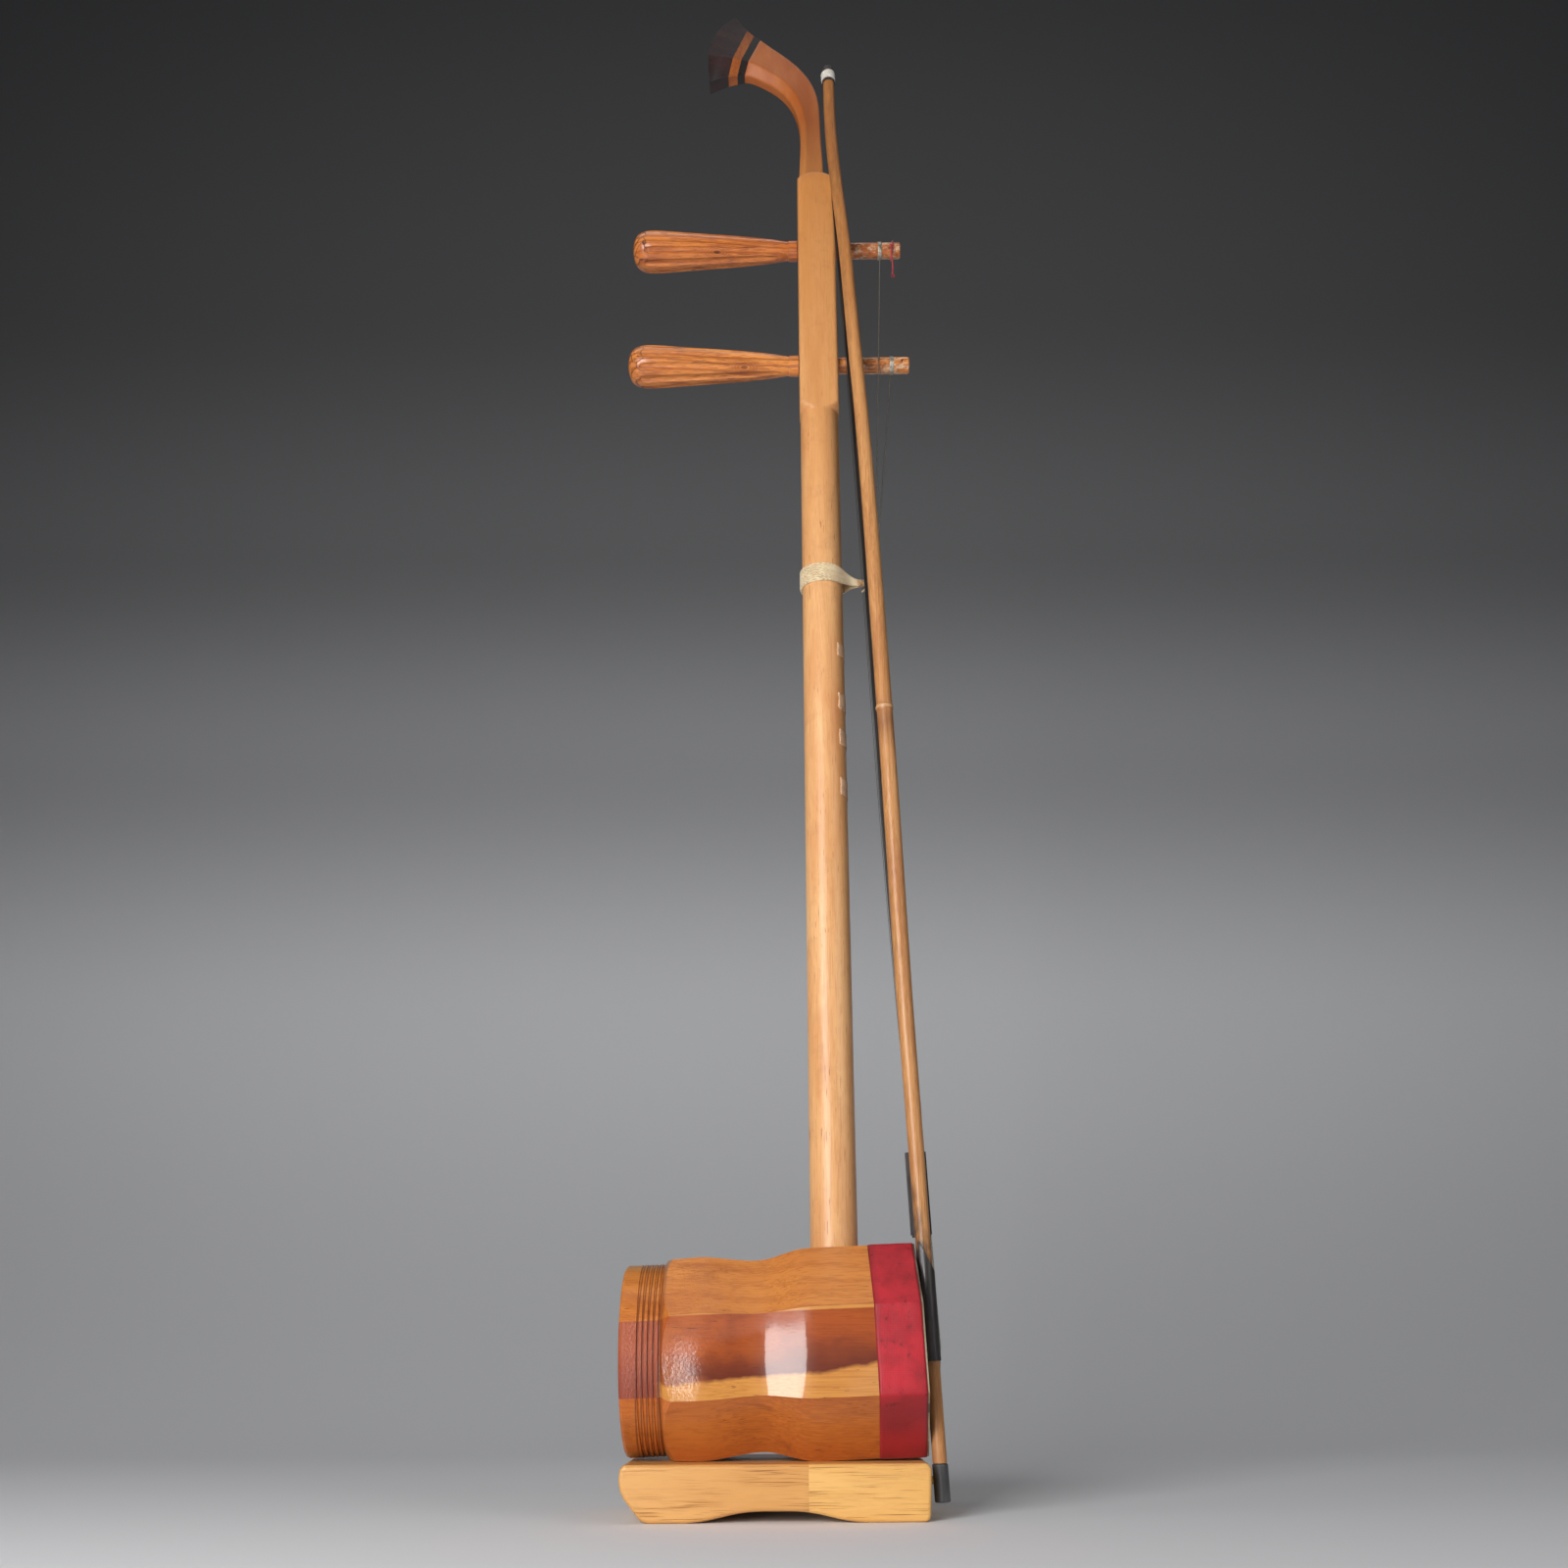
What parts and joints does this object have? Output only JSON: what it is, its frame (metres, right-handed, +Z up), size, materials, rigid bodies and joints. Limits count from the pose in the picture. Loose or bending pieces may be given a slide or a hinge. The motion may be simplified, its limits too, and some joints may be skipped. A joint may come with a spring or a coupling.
{
  "type": "erhu",
  "caption": "Two-string spike fiddle with an octagonal skin-faced sound box, curved neck head, tuning pegs, tied strings, base and hanging cane bow.",
  "frame": {"origin": "on the neck's axis, in the plane that the base's two feet stand on", "axes": "+Z up the neck, +X forward through the snakeskin face, pegs' handles towards -X, bow on the -Y side"},
  "size_m": [0.1503, 0.0798, 0.802],
  "materials": {
    "neck_wood": "satin lacquer",
    "base_wood": "satin, open pores",
    "stave_wood_light": "gloss lacquer",
    "stave_wood_dark": "gloss lacquer",
    "dark_wood": "satin",
    "black_wood": "satin",
    "peg_wood": "gloss lacquer",
    "window_wood": "satin",
    "snakeskin": "scaled, satin",
    "red_cloth": "glued cloth, worn",
    "bridge_wood": "satin",
    "string_metal": "wound steel",
    "brass": "dull",
    "screw_steel": "dull",
    "cream_thread": "cotton thread",
    "brown_thread": "waxed thread",
    "red_thread": "cotton thread",
    "mark_paper": "aged paper tape",
    "bow_cane": "bamboo, oiled",
    "black_horn": "black horn",
    "bow_hair": "black horsehair",
    "button_metal": "dark grey"
  },
  "bodies": {
    "erhu": {"base_rear": "base_wood", "base_front": "base_wood", "base_screw": "screw_steel", "stave_1": "stave_wood_light", "stave_2": "stave_wood_light", "stave_3": "stave_wood_dark", "stave_4": "stave_wood_light", "stave_5": "stave_wood_light", "stave_6": "stave_wood_light", "stave_7": "stave_wood_dark", "stave_8": "stave_wood_light", "snakeskin": "snakeskin", "skin_band": "red_cloth", "sound_window": "window_wood", "bridge": "bridge_wood", "string_anchor": "brass", "neck": "neck_wood", "head_ring": "black_wood", "head_band": "neck_wood", "head_cap": "dark_wood", "inner_string": "string_metal", "outer_string": "string_metal", "tie_loop": "cream_thread", "tie_binding": "brown_thread", "tie_knot": "cream_thread", "position_mark_1": "mark_paper", "position_mark_2": "mark_paper", "position_mark_3": "mark_paper", "position_mark_4": "mark_paper"},
    "upper_peg_body": {"upper_peg": "peg_wood", "upper_winding": "string_metal", "red_thread": "red_thread"},
    "lower_peg_body": {"lower_peg": "peg_wood", "lower_winding": "string_metal"},
    "bow": {"bow_stick": "bow_cane", "bow_hair": "bow_hair", "tip_collar": "black_horn", "tip_binding": "cream_thread", "tip_stub": "black_horn"},
    "bow_frog_body": {"bow_frog": "black_wood", "frog_eyelet": "brass", "hair_ferrule": "black_horn"},
    "bow_screw_body": {"bow_screw": "screw_steel", "bow_button": "button_metal"}
  },
  "joints": [
    {"name": "upper_peg_turn", "type": "hinge", "parent": "erhu", "child": "upper_peg_body", "pos_m": [0, 0, 0.6283], "axis": [1, 0, 0], "continuous": true},
    {"name": "lower_peg_turn", "type": "hinge", "parent": "erhu", "child": "lower_peg_body", "pos_m": [0, 0, 0.5503], "axis": [1, 0, 0], "continuous": true},
    {"name": "bow_draw", "type": "slide", "parent": "erhu", "child": "bow", "axis": [-0.0375, 0, 0.9993], "range_m": [0, 0.06]},
    {"name": "bow_button_turn", "type": "hinge", "parent": "bow", "child": "bow_screw_body", "pos_m": [0.0392, -0.019, 0.0058], "axis": [-0.0375, 0, 0.9993], "range_deg": [-1080.01, 1080.01]},
    {"name": "frog_slide", "type": "slide", "parent": "bow", "child": "bow_frog_body", "axis": [-0.0375, 0, 0.9993], "range_m": [-0.0024, 0.0024], "deforming": ["bow_hair"]}
  ],
  "couplings": [
    {"joint": "bow_button_turn", "follows": "frog_slide", "rad_per_m": 7854}
  ]
}
